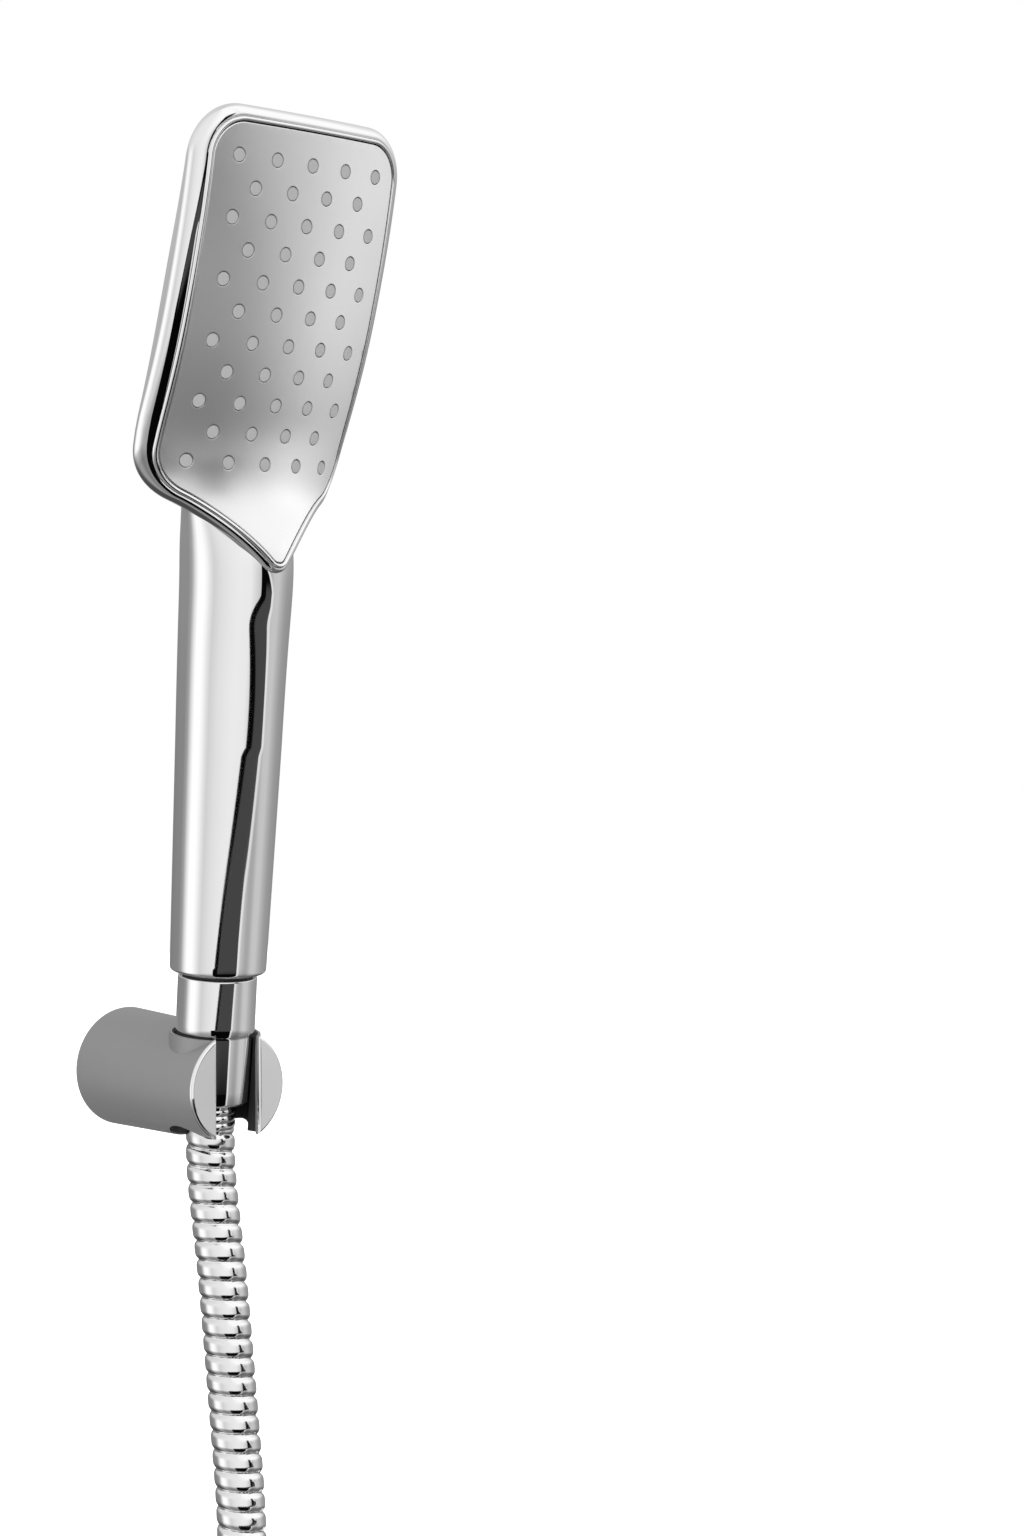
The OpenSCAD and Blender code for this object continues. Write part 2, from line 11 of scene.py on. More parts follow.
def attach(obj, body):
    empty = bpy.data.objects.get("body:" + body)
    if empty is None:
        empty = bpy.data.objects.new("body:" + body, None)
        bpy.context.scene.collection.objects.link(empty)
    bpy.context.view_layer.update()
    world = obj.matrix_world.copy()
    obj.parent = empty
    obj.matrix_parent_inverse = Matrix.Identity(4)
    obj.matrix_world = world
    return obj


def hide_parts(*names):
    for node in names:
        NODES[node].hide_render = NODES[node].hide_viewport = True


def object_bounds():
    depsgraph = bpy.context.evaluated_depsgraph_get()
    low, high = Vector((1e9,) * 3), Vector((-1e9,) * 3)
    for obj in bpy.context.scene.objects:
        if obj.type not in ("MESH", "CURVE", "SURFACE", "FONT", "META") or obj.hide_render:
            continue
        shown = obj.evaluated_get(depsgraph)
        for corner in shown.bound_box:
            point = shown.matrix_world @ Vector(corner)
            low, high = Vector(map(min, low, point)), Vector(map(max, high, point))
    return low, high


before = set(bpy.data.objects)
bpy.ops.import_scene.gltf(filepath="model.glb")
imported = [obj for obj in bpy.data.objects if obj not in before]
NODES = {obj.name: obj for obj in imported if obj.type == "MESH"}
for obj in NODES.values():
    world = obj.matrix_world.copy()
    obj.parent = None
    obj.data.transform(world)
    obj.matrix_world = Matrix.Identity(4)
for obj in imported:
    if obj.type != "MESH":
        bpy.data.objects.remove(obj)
cad_low, cad_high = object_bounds()
MM = 0.001
scene = bpy.context.scene

# ---------------------------------------------------------------- driving sizes, in millimetres
LEAN, TURN, SOCKET_Y = math.radians(5), math.radians(7.5), 46.0
HANDLE_R, HANDLE_TAPER, HANDLE_FROM = 14.1, 0.02, 33.5
PLATE_HALF_W, PLATE_TOP, CORNER_R = 34.6, 274.0, 10.0
LOW_CORNER_R, LOW_CORNER_H, LOW_CORNER_TURN = 13.3, 185.3, math.radians(66)
TAIL_TIP, FACE_MIDDLE = 153.6, 222.0
RIM_GAP, RIM_OUTER, SHOULDER_R = 0.25, 1.5, 3.5
LOW_REACH, REACH_FROM, REACH_H = 0.55, 172.0, 22.0
BACK_SCALE, BACK_INSET = 0.85, -6.0
NOZZLE_R, NOZZLE_PITCH, ROW_PITCH, FIRST_ROW, ROWS = 1.85, 13.2, 8.35, 265.0, 11
HOSE_D, RIB_PITCH, RIB_DEPTH, RIB_SQUARENESS = 14.5, 5.54, 1.15, 3.6
COIL_R, ENTRY_R, TURN_PITCH = 73.0, 58.0, 14.8
COIL_X, COIL_Z, LEAD_Y, TAIL_LEN = 46.0, -238.0, -60.0, 42.0
# Angle over which each turn of the coil moves across to the next
RAMP = math.radians(166)
SLEEVE_END, SLEEVE_TOP = -13.1, -5.6
# Radii inside the nuts, from the hose's guide bore out to the G1/2 thread
GUIDE_R, NUT_INNER_R, SEAT_R, THREAD_R = 6.05, 8.2, 9.6, 10.45
# The conical nut: heights along its axis, and its collar's radius
SHANK_FROM, GUIDE_TO, COLLAR_FROM, THREAD_FROM, COLLAR_TO, COLLAR_R = -5.3, 3.7, 15.5, 17.5, 32.3, 11.6
# The holder: radius at the wall, length, bores, slot, boss under the collar and the socket's cone
HOLDER_WALL_R, HOLDER_LEN, CAVITY_R, CAVITY_DEPTH, CORE_R, CORE_DEPTH = 18, 59, 15, 8, 13.5, 31
SLOT_HALF, LINER_T, BOSS_R, BOSS_TO = 7.5, 1.0, 13.4, 15.2
SOCKET_R_LOW, SOCKET_R_HIGH, SOCKET_FROM, SOCKET_TO = 11.73, 13.07, -30, 40
# The face plate's thickness, and how far in from its outline its edge starts to roll over
PLATE_T, EDGE_INSET = 1.2, 0.35

# Height, distance in front of the handle's axis, and bow across, down the middle of the face
FACE_KNOTS = np.array([
    (140, 18.2, 0.020), (153.5, 17.8, 0.020), (163, 14.6, 0.016), (172, 11.1, 0.0145),
    (182, 9.8, 0.0114), (198, 13.0, 0.009), (215, 17.1, 0.0078), (232, 20.1, 0.0068),
    (248, 22.1, 0.0057), (265, 23.5, 0.0047), (285, 24.6, 0.0040)])
# Height and distance in front of the axis down the middle of the back
BACK_KNOTS = np.array([
    (140, -12.0), (160, -9.5), (175, -7.6), (188, -6.0), (205, -3.8),
    (220, -1.4), (238, 2.4), (262, 9.3), (285, 14.5)])
# Height, half width, back and front of the neck that fairs the handle into the paddle's back
NECK = np.array([
    (100, 15.43, -15.43, 15.43), (135, 16.13, -16.13, 16.13), (150, 16.43, -16.43, 16.43),
    (158, 16.59, -16.5, 15.4), (166, 16.75, -15.6, 12.2), (174, 17.2, -13.9, 7.6), (182, 18.2, -11.9, 6),
    (190, 19.8, -9.8, 5), (198, 21.6, -7.6, 6), (206, 23, -5.2, 8), (214, 23, -2.8, 10)])


# ---------------------------------------------------------------- geometry helpers
def spline(x, y):
    """Natural cubic spline through the knots, as a function."""
    x, y = np.asarray(x, float), np.asarray(y, float)
    n = len(x)
    step = np.diff(x)
    system, right = np.eye(n), np.zeros(n)
    for i in range(1, n - 1):
        system[i, i - 1:i + 2] = step[i - 1], 2 * (step[i - 1] + step[i]), step[i]
        right[i] = 6 * ((y[i + 1] - y[i]) / step[i] - (y[i] - y[i - 1]) / step[i - 1])
    second = np.linalg.solve(system, right)

    def value(at):
        at = np.clip(at, x[0], x[-1])
        i = np.clip(np.searchsorted(x, at) - 1, 0, n - 2)
        a, b = (x[i + 1] - at) / step[i], (at - x[i]) / step[i]
        return (a * y[i] + b * y[i + 1]
                + ((a ** 3 - a) * second[i] + (b ** 3 - b) * second[i + 1]) * step[i] ** 2 / 6)
    return value


face_middle_at = spline(FACE_KNOTS[:, 0], FACE_KNOTS[:, 1])
bow_at = spline(FACE_KNOTS[:, 0], FACE_KNOTS[:, 2])
back_at = spline(BACK_KNOTS[:, 0], BACK_KNOTS[:, 1])


def face_at(u, h):
    """How far in front of the handle's axis the face stands, at a distance across and a height."""
    return face_middle_at(h) - bow_at(h) * u * u / 2


def ease(t):
    """Smooth step from 0 to 1."""
    t = np.clip(t, 0, 1)
    return t * t * (3 - 2 * t)


def on_axis(points):
    """From the socket's own frame to the part's; points are x, y and height along the axis, in mm."""
    p = np.asarray(points, float)
    c, s = math.cos(LEAN), math.sin(LEAN)
    x, y, z = p[..., 0], p[..., 1], p[..., 2]
    return np.stack([x, c * y - s * z - SOCKET_Y, s * y + c * z], -1) * MM


def on_handset(points):
    """From the handset's frame to the part's; points are across, in front of the axis, and height."""
    p = np.asarray(points, float)
    c, s = math.cos(TURN), math.sin(TURN)
    u, v, h = p[..., 0], -p[..., 1], p[..., 2]
    return on_axis(np.stack([c * u - s * v, s * u + c * v, h], -1))


def face_outward(mesh, weld=0.0):
    """Turns the faces outward, after welding points that lie within weld metres of each other."""
    build = bmesh.new()
    build.from_mesh(mesh)
    if weld:
        bmesh.ops.remove_doubles(build, verts=build.verts, dist=weld)
    bmesh.ops.recalc_face_normals(build, faces=build.faces)
    build.to_mesh(mesh)
    build.free()


def add_mesh(name, vertices, faces, body, look, replaces=()):
    """Smooth piece that rides on a body, its material and the CAD nodes it replaces."""
    mesh = bpy.data.meshes.new(name)
    mesh.from_pydata([tuple(v) for v in vertices], [], faces)
    mesh.validate()
    face_outward(mesh)
    mesh.shade_smooth()
    obj = bpy.data.objects.new(name, mesh)
    scene.collection.objects.link(obj)
    mesh.materials.append(look)
    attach(obj, body)
    if replaces:
        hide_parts(*replaces)
    return obj


def ring_faces(k, n, start=0, closed=False):
    """Quads between k rings of n points, round each ring; closed joins the last ring to the first."""
    faces = []
    for j in range(k if closed else k - 1):
        a, b = start + n * j, start + n * ((j + 1) % k)
        faces += [(a + i, a + (i + 1) % n, b + (i + 1) % n, b + i) for i in range(n)]
    return faces


def end_cap(k, n, start=0):
    """One face over ring k of n points."""
    return tuple(range(start + n * k, start + n * (k + 1)))


def around(n):
    """n angles evenly round a full turn, in radians."""
    return np.linspace(0, 2 * math.pi, n, endpoint=False)


def sharpen(obj, degrees):
    """Keeps edges sharp where the faces turn by more than this many degrees."""
    obj.data.set_sharp_from_angle(angle=math.radians(degrees))


def arc(cx, cy, r, a, b, n):
    """Points of an arc about (cx, cy) from a to b degrees."""
    return [(cx + r * math.cos(t), cy + r * math.sin(t)) for t in np.radians(np.linspace(a, b, n + 1))]


def bezier(p, n):
    """n points of a cubic Bezier curve, without its first."""
    t = np.linspace(0, 1, n + 1)[1:, None]
    p = np.asarray(p, float)
    return (1 - t) ** 3 * p[0] + 3 * (1 - t) ** 2 * t * p[1] + 3 * (1 - t) * t * t * p[2] + t ** 3 * p[3]


# ---------------------------------------------------------------- the paddle's outline
def outline(tail):
    """Closed outline, clockwise from the middle of the upper edge. tail gives the face plate's V."""
    half = [(x, PLATE_TOP) for x in np.linspace(0, PLATE_HALF_W - CORNER_R, 9)[:-1]]
    half += arc(PLATE_HALF_W - CORNER_R, PLATE_TOP - CORNER_R, CORNER_R, 90, 0, 18)
    half += [(PLATE_HALF_W, h) for h in np.linspace(PLATE_TOP - CORNER_R, LOW_CORNER_H, 22)[1:-1]]
    half += arc(PLATE_HALF_W - LOW_CORNER_R, LOW_CORNER_H, LOW_CORNER_R, 0,
                -math.degrees(LOW_CORNER_TURN), 16)
    end = np.array(half[-1])
    away = np.array([-math.sin(LOW_CORNER_TURN), -math.cos(LOW_CORNER_TURN)])
    if tail:
        low = bezier([end, end + 7.2 * away, (9.5, 163), (2.3, 155.1)], 26)
        low = np.vstack([low, [(1.65, 154.5), (0.9, 154.15), (0, 154.05)]])
    else:
        low = bezier([end, end + 5.2 * away, (12, 170), (0, 170)], 29)
    half = np.vstack([half, low])
    mirrored = half[-2:0:-1] * (-1, 1)
    return np.vstack([half, mirrored])


def outward(p):
    """Outward directions at the points of a closed outline that runs clockwise."""
    d = np.roll(p, -1, 0) - np.roll(p, 1, 0)
    n = np.stack([-d[:, 1], d[:, 0]], -1)
    return n / np.linalg.norm(n, axis=1)[:, None]


PLATE, ROUND = outline(True), outline(False)
PLATE_OUT, ROUND_OUT = outward(PLATE), outward(ROUND)
SIDES = len(PLATE)


def ring(out, depth, to_back=0.0, blend=0.0, scale=1.0):
    """Ring moved outward by out and off the face by depth, to_back of the way to the back surface.

    blend goes from the plate's outline to the one with no tail.
    """
    p = PLATE * (1 - blend) + ROUND * blend
    n = PLATE_OUT * (1 - blend) + ROUND_OUT * blend
    middle = np.array([0, FACE_MIDDLE])
    past = max(out - RIM_OUTER, 0)
    reach = out - past + past * (LOW_REACH + (1 - LOW_REACH) * ease((p[:, 1:] - REACH_FROM) / REACH_H))
    q = middle + scale * (p - middle) + reach * n
    v = (1 - to_back) * face_at(q[:, 0], q[:, 1]) + to_back * back_at(q[:, 1]) + depth
    return np.stack([q[:, 0], v, q[:, 1]], -1)


# ---------------------------------------------------------------- materials
def material(name, color, metallic, roughness, *, grain=0.0, grain_scale=900.0, mottle=0.0,
             rough_vary=0.0):
    """Principled material whose colour, roughness and bump vary with noise in object space."""
    m = bpy.data.materials.new(name)
    m.use_nodes = True
    nodes, links = m.node_tree.nodes, m.node_tree.links
    shader = nodes["Principled BSDF"]
    shader.inputs["Metallic"].default_value = metallic
    shader.inputs["Roughness"].default_value = roughness
    shader.inputs["Base Color"].default_value = (*color, 1)
    place = nodes.new("ShaderNodeTexCoord")

    def noise(scale, detail):
        node = nodes.new("ShaderNodeTexNoise")
        node.inputs["Scale"].default_value = scale
        node.inputs["Detail"].default_value = detail
        links.new(place.outputs["Object"], node.inputs["Vector"])
        return node.outputs["Fac"]

    if mottle:
        cloud = noise(28.0, 4.0)
        ramp = nodes.new("ShaderNodeValToRGB")
        ramp.color_ramp.elements[0].position, ramp.color_ramp.elements[1].position = 0.3, 0.7
        ramp.color_ramp.elements[0].color = (*[c * (1 - mottle) for c in color], 1)
        ramp.color_ramp.elements[1].color = (*[min(1, c * (1 + mottle)) for c in color], 1)
        links.new(cloud, ramp.inputs["Fac"])
        links.new(ramp.outputs["Color"], shader.inputs["Base Color"])
    if rough_vary:
        smear = noise(60.0, 6.0)
        spread = nodes.new("ShaderNodeMapRange")
        spread.inputs["To Min"].default_value = roughness
        spread.inputs["To Max"].default_value = roughness + rough_vary
        links.new(smear, spread.inputs["Value"])
        links.new(spread.outputs["Result"], shader.inputs["Roughness"])
    if grain:
        fine = noise(grain_scale, 3.0)
        bump = nodes.new("ShaderNodeBump")
        bump.inputs["Strength"].default_value = grain
        bump.inputs["Distance"].default_value = 0.0002
        links.new(fine, bump.inputs["Height"])
        links.new(bump.outputs["Normal"], shader.inputs["Normal"])
    return m


CHROME = material("chrome_polished", (0.9, 0.9, 0.905), 1, 0.02, mottle=0.01, rough_vary=0.02)
RIM = material("chrome_rim", (0.92, 0.92, 0.925), 1, 0.04, mottle=0.01, rough_vary=0.03)
SATIN = material("satin_face", (0.88, 0.88, 0.885), 1, 0.29, grain=0.12, grain_scale=2600,
                 mottle=0.02, rough_vary=0.04)
SILICONE = material("silicone_grey", (0.30, 0.30, 0.303), 0, 0.42, grain=0.15, mottle=0.04)
HOLDER_SIDE = material("holder_satin", (0.345, 0.345, 0.35), 0.75, 0.5, grain=0.12, grain_scale=3200,
                       mottle=0.02, rough_vary=0.05)
# The lobes' fronts: the holder's satin in a lighter colour, which is painted light, and half dielectric
# so that it also takes the lamps' light
HOLDER_FRONT_LIT = material("holder_front_painted_light", (0.57, 0.57, 0.575), 0.5, 0.34, grain=0.05, grain_scale=2400,
                        mottle=0.02, rough_vary=0.05)
BLACK = material("plastic_black", (0.012, 0.012, 0.013), 0, 0.42, grain=0.2, mottle=0.1)
SEAL = material("rubber_black", (0.02, 0.02, 0.02), 0, 0.6, grain=0.3, mottle=0.1)
WHITE = material("plastic_white", (0.75, 0.75, 0.73), 0, 0.45, grain=0.1, mottle=0.03)
GREEN = material("plastic_green", (0.08, 0.25, 0.12), 0, 0.4, grain=0.1, mottle=0.05)
STEEL = material("steel_plain", (0.55, 0.55, 0.56), 1, 0.32, grain=0.2, mottle=0.05, rough_vary=0.1)
BRASS = material("brass_turned", (0.72, 0.52, 0.24), 1, 0.3, grain=0.2, mottle=0.05, rough_vary=0.1)
HOSE_METAL = material("hose_chrome", (0.9, 0.9, 0.905), 1, 0.08, mottle=0.02, rough_vary=0.05)

CAD_LOOKS = {
    BLACK: ["socket_liner", "inlet_fitting", "check_valve_poppet", "coil_ties"],
    STEEL: ["wall_plate", "grub_screw", "chamber_screws", "filter_screen", "check_valve_spring"],
    SEAL: ["chamber_gasket", "tube_orings", "nut_washer", "supply_washer"],
    WHITE: ["spray_chamber", "water_tube", "check_valve_body"],
    GREEN: ["flow_regulator"],
    BRASS: ["swivel_insert", "supply_insert"],
    CHROME: ["supply_nut"],
}
for look, names in CAD_LOOKS.items():
    for name in names:
        NODES[name].data.materials.clear()
        NODES[name].data.materials.append(look)

# ---------------------------------------------------------------- camera
camera_data = bpy.data.cameras.new("camera")
camera_data.lens, camera_data.sensor_width, camera_data.sensor_fit = 65, 36, "AUTO"
camera = bpy.data.objects.new("camera", camera_data)
camera.location = (-0.4667, -0.7168, 0.1246)
camera.rotation_euler = (math.radians(87.75), 0, -math.radians(41.02))
scene.collection.objects.link(camera)
scene.camera = camera

# ---------------------------------------------------------------- hose
ENTRY_Z = COIL_Z - math.sqrt((COIL_R - ENTRY_R) ** 2 - (ENTRY_R - COIL_X) ** 2)
ENTRY_ANGLE = math.atan2(ENTRY_Z - COIL_Z, ENTRY_R - COIL_X)
SWEEP = 5 * math.pi - ENTRY_ANGLE
HOSE_EXIT = np.array([0, -SOCKET_Y - SLEEVE_END * math.sin(LEAN), SLEEVE_END * math.cos(LEAN)])
# Route of the hanging stretch, down to where the bend into the coil begins
LEAD = np.array([
    HOSE_EXIT, (0, -44.7, -20), (0, -45.3, -28), (0, -46.6, -36), (0, -48.1, -44), (0, -49.7, -52),
    (0, -51.6, -64), (0, -53.3, -76), (0, -55.2, -90), (0, -57.1, -104), (0, -58.9, -118),
    (0, LEAD_Y, -134), (0, LEAD_Y, -160), (0, LEAD_Y, -190), (0, LEAD_Y, -220), (0, LEAD_Y, ENTRY_Z)])


def turn_y(swept):
    """How far from the wall the coil's line is after it has swept this angle, as a y."""
    whole = math.floor(swept / (2 * math.pi))
    return LEAD_Y + TURN_PITCH * (whole + float(ease((swept - 2 * math.pi * whole) / RAMP)))


def hose_line():
    """Dense centreline of the whole hose: hanging stretch, bend, turns of the coil and tail."""
    lead_y = spline(-LEAD[:, 2], LEAD[:, 1])
    down = np.linspace(-HOSE_EXIT[2], -ENTRY_Z, 200)
    points = [(0, lead_y(d), -d) for d in down]
    for a in np.linspace(math.pi, 2 * math.pi + ENTRY_ANGLE, 90)[1:]:
        points.append((ENTRY_R + ENTRY_R * math.cos(a), LEAD_Y, ENTRY_Z + ENTRY_R * math.sin(a)))
    for s in np.linspace(0, SWEEP, 800)[1:]:
        a = ENTRY_ANGLE + s
        points.append((COIL_X + COIL_R * math.cos(a), turn_y(s), COIL_Z + COIL_R * math.sin(a)))
    end = np.array(points[-1])
    for drop in np.linspace(0, TAIL_LEN, 30)[1:]:
        points.append(end - (0, 0, drop))
    return np.array(points, float)


# The part of the hose that hangs in sight is divided more finely
FINE_TO, FINE_STEP, COARSE_STEP = 270.0, 0.3, 0.5


def resample(points):
    """Points of the line at those steps, and how far along the line each one lies."""
    length = np.concatenate([[0], np.cumsum(np.linalg.norm(np.diff(points, axis=0), axis=1))])
    coarse = int((length[-1] - FINE_TO) / COARSE_STEP)
    at = np.concatenate([np.arange(0, FINE_TO, FINE_STEP), np.linspace(FINE_TO, length[-1], coarse)])
    return np.stack([np.interp(at, length, points[:, k]) for k in range(3)], -1), at


def ribbed_tube(name, line, at, sides):
    """Tube with a helical rib, wound along the line."""
    n = len(line)
    heading = np.gradient(line, axis=0)
    heading /= np.linalg.norm(heading, axis=1)[:, None]
    side = np.cross([0, 1, 0], heading)
    side /= np.linalg.norm(side, axis=1)[:, None]
    other = np.cross(heading, side)
    turn = around(sides)
    phase = (at[:, None] / RIB_PITCH + turn[None] / (2 * math.pi)) % 1
    ends = ease(np.minimum(at, at[-1] - at) / 3)[:, None]
    groove = np.abs(2 * phase - 1) ** RIB_SQUARENESS
    radius = HOSE_D / 2 - RIB_DEPTH * (groove * ends + 0.35 * (1 - ends))
    p = (line[:, None] + radius[..., None]
         * (np.cos(turn)[None, :, None] * side[:, None] + np.sin(turn)[None, :, None] * other[:, None]))
    faces = ring_faces(n, sides) + [end_cap(0, sides), end_cap(n - 1, sides)]
    return add_mesh(name, p.reshape(-1, 3) * MM, faces, "hose", HOSE_METAL,
                    ("hose_tube", "hose_coil"))


hose_points, hose_at = resample(hose_line())
hose = ribbed_tube("hose_spiral", hose_points, hose_at, 36)


# ---------------------------------------------------------------- handset shell
def shell_rings():
    """The paddle's shell: pocket beside the rim, shoulder, quarter turn to the back, and the back."""
    ledge, below_face = 0.2, 0.3
    rings = [ring(RIM_OUTER + 0.05, depth) for depth in (-3.0, -0.75, -0.45)]
    for a in np.radians(np.linspace(90, 0, 15)):
        rings.append(ring(RIM_OUTER + ledge + (SHOULDER_R - ledge) * math.cos(a),
                          SHOULDER_R * (math.sin(a) - 1) - below_face))
    depth = SHOULDER_R + below_face
    flare = RIM_OUTER + SHOULDER_R
    for b in np.radians(np.linspace(0, 90, 23)[1:]):
        c = math.cos(b)
        rings.append(ring(BACK_INSET + (flare - BACK_INSET) * c, -depth * (1 - math.sin(b)), math.sin(b),
                          float(ease(b / math.radians(30))), BACK_SCALE + (1 - BACK_SCALE) * c))
    for s in (0.93, 0.82, 0.66, 0.5, 0.33, 0.16, 0.02):
        rings.append(ring(BACK_INSET * s, 0, 1, 1, BACK_SCALE * s))
    return rings


# Right side of the outline below its middle, upwards
LOWER_HALF = PLATE[SIDES // 4:SIDES // 2 + 1][::-1]


def half_width_at(h):
    """Half the plate's width at a height below its middle."""
    return np.interp(h, LOWER_HALF[:, 1], LOWER_HALF[:, 0])


def handle_sections(sides):
    """Sections of the handle and the neck, upwards; the neck stays clear of the face plate."""
    round_r, under_plate = 1.0, 2.2
    turn = around(sides)
    handle = [(10.6, HANDLE_FROM + 0.9), (10.6, HANDLE_FROM + 0.3), (10.9, HANDLE_FROM)]
    handle += [(HANDLE_R - round_r + r, HANDLE_FROM + round_r + h)
               for r, h in arc(0, 0, round_r, -90, 0, 6)]
    handle += [(HANDLE_R + HANDLE_TAPER * (h - HANDLE_FROM), h)
               for h in np.linspace(HANDLE_FROM + 1.6, 100, 40)]
    sections = [np.stack([r * np.cos(turn), r * np.sin(turn), np.full(sides, h)], -1) for r, h in handle]
    neck_w, neck_b, neck_f = (spline(NECK[:, 0], NECK[:, k]) for k in (1, 2, 3))
    for h in np.linspace(101, 213.5, 110):
        w, b, f = neck_w(h), neck_b(h), neck_f(h)
        u, v = w * np.cos(turn), (f + b) / 2 + (f - b) / 2 * np.sin(turn)
        covered = np.abs(u) < (half_width_at(h) + 1.0 if h > TAIL_TIP else 0)
        v = np.where(covered, np.minimum(v, face_at(u, h) - under_plate), v)
        sections.append(np.stack([u, v, np.full(sides, h)], -1))
    return sections


def handset_shell():
    """Paddle's shell, neck and handle as one piece."""
    sides = 128
    paddle, stem = shell_rings(), handle_sections(sides)
    start = SIDES * len(paddle)
    faces = ring_faces(len(paddle), SIDES) + [end_cap(len(paddle) - 1, SIDES)]
    faces += ring_faces(len(stem), sides, start) + [end_cap(len(stem) - 1, sides, start)]
    vertices = np.vstack([on_handset(np.concatenate(paddle)), on_handset(np.concatenate(stem))])
    obj = add_mesh("shell", vertices, faces, "handset", CHROME, ("rear_shell",))
    sharpen(obj, 50)


handset_shell()

# ---------------------------------------------------------------- rim round the face plate
# Distance outside the plate's outline and off the face
RIM_PROFILE = [(RIM_GAP, -2.0), (RIM_GAP, -0.35), (RIM_GAP + 0.05, 0.05), (0.38, 0.3), (0.6, 0.42),
               (0.85, 0.45), (1.08, 0.38), (1.28, 0.18), (1.42, -0.12), (RIM_OUTER, -0.5),
               (RIM_OUTER, -2.0)]
rim = add_mesh("rim_bead", on_handset(np.concatenate([ring(o, d) for o, d in RIM_PROFILE])),
               ring_faces(len(RIM_PROFILE), SIDES, closed=True), "handset", RIM,
               ("front_rim",))
sharpen(rim, 60)


# ---------------------------------------------------------------- face plate with its nozzle holes
def nozzle_sites():
    """Middles of the nozzles on the face: rows of five and four by turns."""
    sites = []
    for row in range(ROWS):
        count = 5 if row % 2 == 0 else 4
        h = FIRST_ROW - row * ROW_PITCH
        sites += [((i - (count - 1) / 2) * NOZZLE_PITCH, h) for i in range(count)]
    return sites


def face_points(flat, depth):
    """Points of the flat outline's plane laid on the face, off it by depth."""
    flat = np.asarray(flat, float)
    return on_handset(np.stack([flat[:, 0], face_at(flat[:, 0], flat[:, 1]) + depth, flat[:, 1]], -1))


def face_plate():
    """Plate with rolled edges and nozzle holes, meshed on the flat and laid on the face."""
    hole_r, edge, steps = NOZZLE_R + 0.2, 0.18, 28
    rim_r, grid = hole_r + edge, 1.6
    sites = nozzle_sites()
    border = PLATE - PLATE_OUT * EDGE_INSET

    def circle(x, y, r):
        return arc(x, y, r, 0, 360 - 360 / steps, steps - 1)

    def nearest_hole(x, y):
        return math.sqrt(min((x - a) ** 2 + (y - b) ** 2 for a, b in sites))

    points = [Vector(p) for p in border]
    edges = [(i, (i + 1) % SIDES) for i in range(SIDES)]
    for x, y in sites:
        first = len(points)
        points += [Vector(p) for p in circle(x, y, rim_r)]
        edges += [(first + i, first + (i + 1) % steps) for i in range(steps)]
    for row, y in enumerate(np.arange(152, PLATE_TOP, grid)):
        for x in np.arange(-PLATE_HALF_W, PLATE_HALF_W + 1, grid) + grid / 2 * (row % 2):
            inside = abs(x) < (PLATE_HALF_W if y > LOW_CORNER_H else half_width_at(y))
            clear_of_border = np.min(np.hypot(border[:, 0] - x, border[:, 1] - y)) > grid / 2
            if inside and clear_of_border and nearest_hole(x, y) > hole_r + 0.9:
                points.append(Vector((x, y)))
    flat, _, cells, *_ = delaunay_2d_cdt(points, edges, [], 1, 1e-5)
    flat = np.array([tuple(p) for p in flat])
    # a cell inside a hole has its middle well within the hole's rim
    faces = [tuple(cell) for cell in cells if nearest_hole(*flat[list(cell)].mean(0)) > 0.9935 * rim_r]
    n = len(flat)
    stack = [face_points(flat, 0)]
    rolls = [(border, 0), (PLATE - PLATE_OUT * 0.1, -0.12), (PLATE, -0.4), (PLATE, -PLATE_T)]

    def skirt(loops, count):
        nonlocal n
        first = n
        for loop, depth in loops:
            stack.append(face_points(loop, depth))
            n += count
        faces.extend(ring_faces(len(loops), count, first))

    skirt(rolls, SIDES)
    hole_profile = [(rim_r, 0), (hole_r + 0.05, -0.05), (hole_r, -edge), (hole_r, -PLATE_T)]
    for x, y in sites:
        skirt([(circle(x, y, r), depth) for r, depth in hole_profile], steps)
    obj = add_mesh("face_plate_satin", np.vstack(stack), faces, "handset", SATIN,
                   ("face_plate",))
    face_outward(obj.data, weld=2e-6)
    sharpen(obj, 15)
    return obj


plate = face_plate()


def nozzles():
    """The silicone mat behind the plate and its fifty soft nozzles."""
    steps = 28
    profile = [(NOZZLE_R, -1.6), (NOZZLE_R, -0.05), (NOZZLE_R - 0.1, 0.12), (NOZZLE_R - 0.3, 0.2),
               (0.9, 0.22), (0.05, 0.22)]
    turn = around(steps)
    vertices, faces = [], []
    for x, y in nozzle_sites():
        first = steps * len(vertices)
        base = float(face_at(x, y))
        slope_h = float(face_middle_at(y + 0.5) - face_middle_at(y - 0.5))
        slope_u = -float(bow_at(y)) * x
        for r, d in profile:
            u, h = r * np.cos(turn), r * np.sin(turn)
            vertices.append(np.stack([x + u - slope_u * d, base + slope_u * u + slope_h * h + d,
                                      y + h - slope_h * d], -1))
        faces += ring_faces(len(profile), steps, first) + [end_cap(len(profile) - 1, steps, first)]
    mat = [ring(-1.5, -1.5, 0, 1, s) for s in (1, 0.7, 0.35, 0.03)]
    faces += ring_faces(len(mat), SIDES, steps * len(vertices))
    vertices.append(np.concatenate(mat))
    obj = add_mesh("nozzles_silicone", on_handset(np.concatenate(vertices)), faces, "handset",
                   SILICONE, ("nozzle_mat",))
    sharpen(obj, 40)


nozzles()


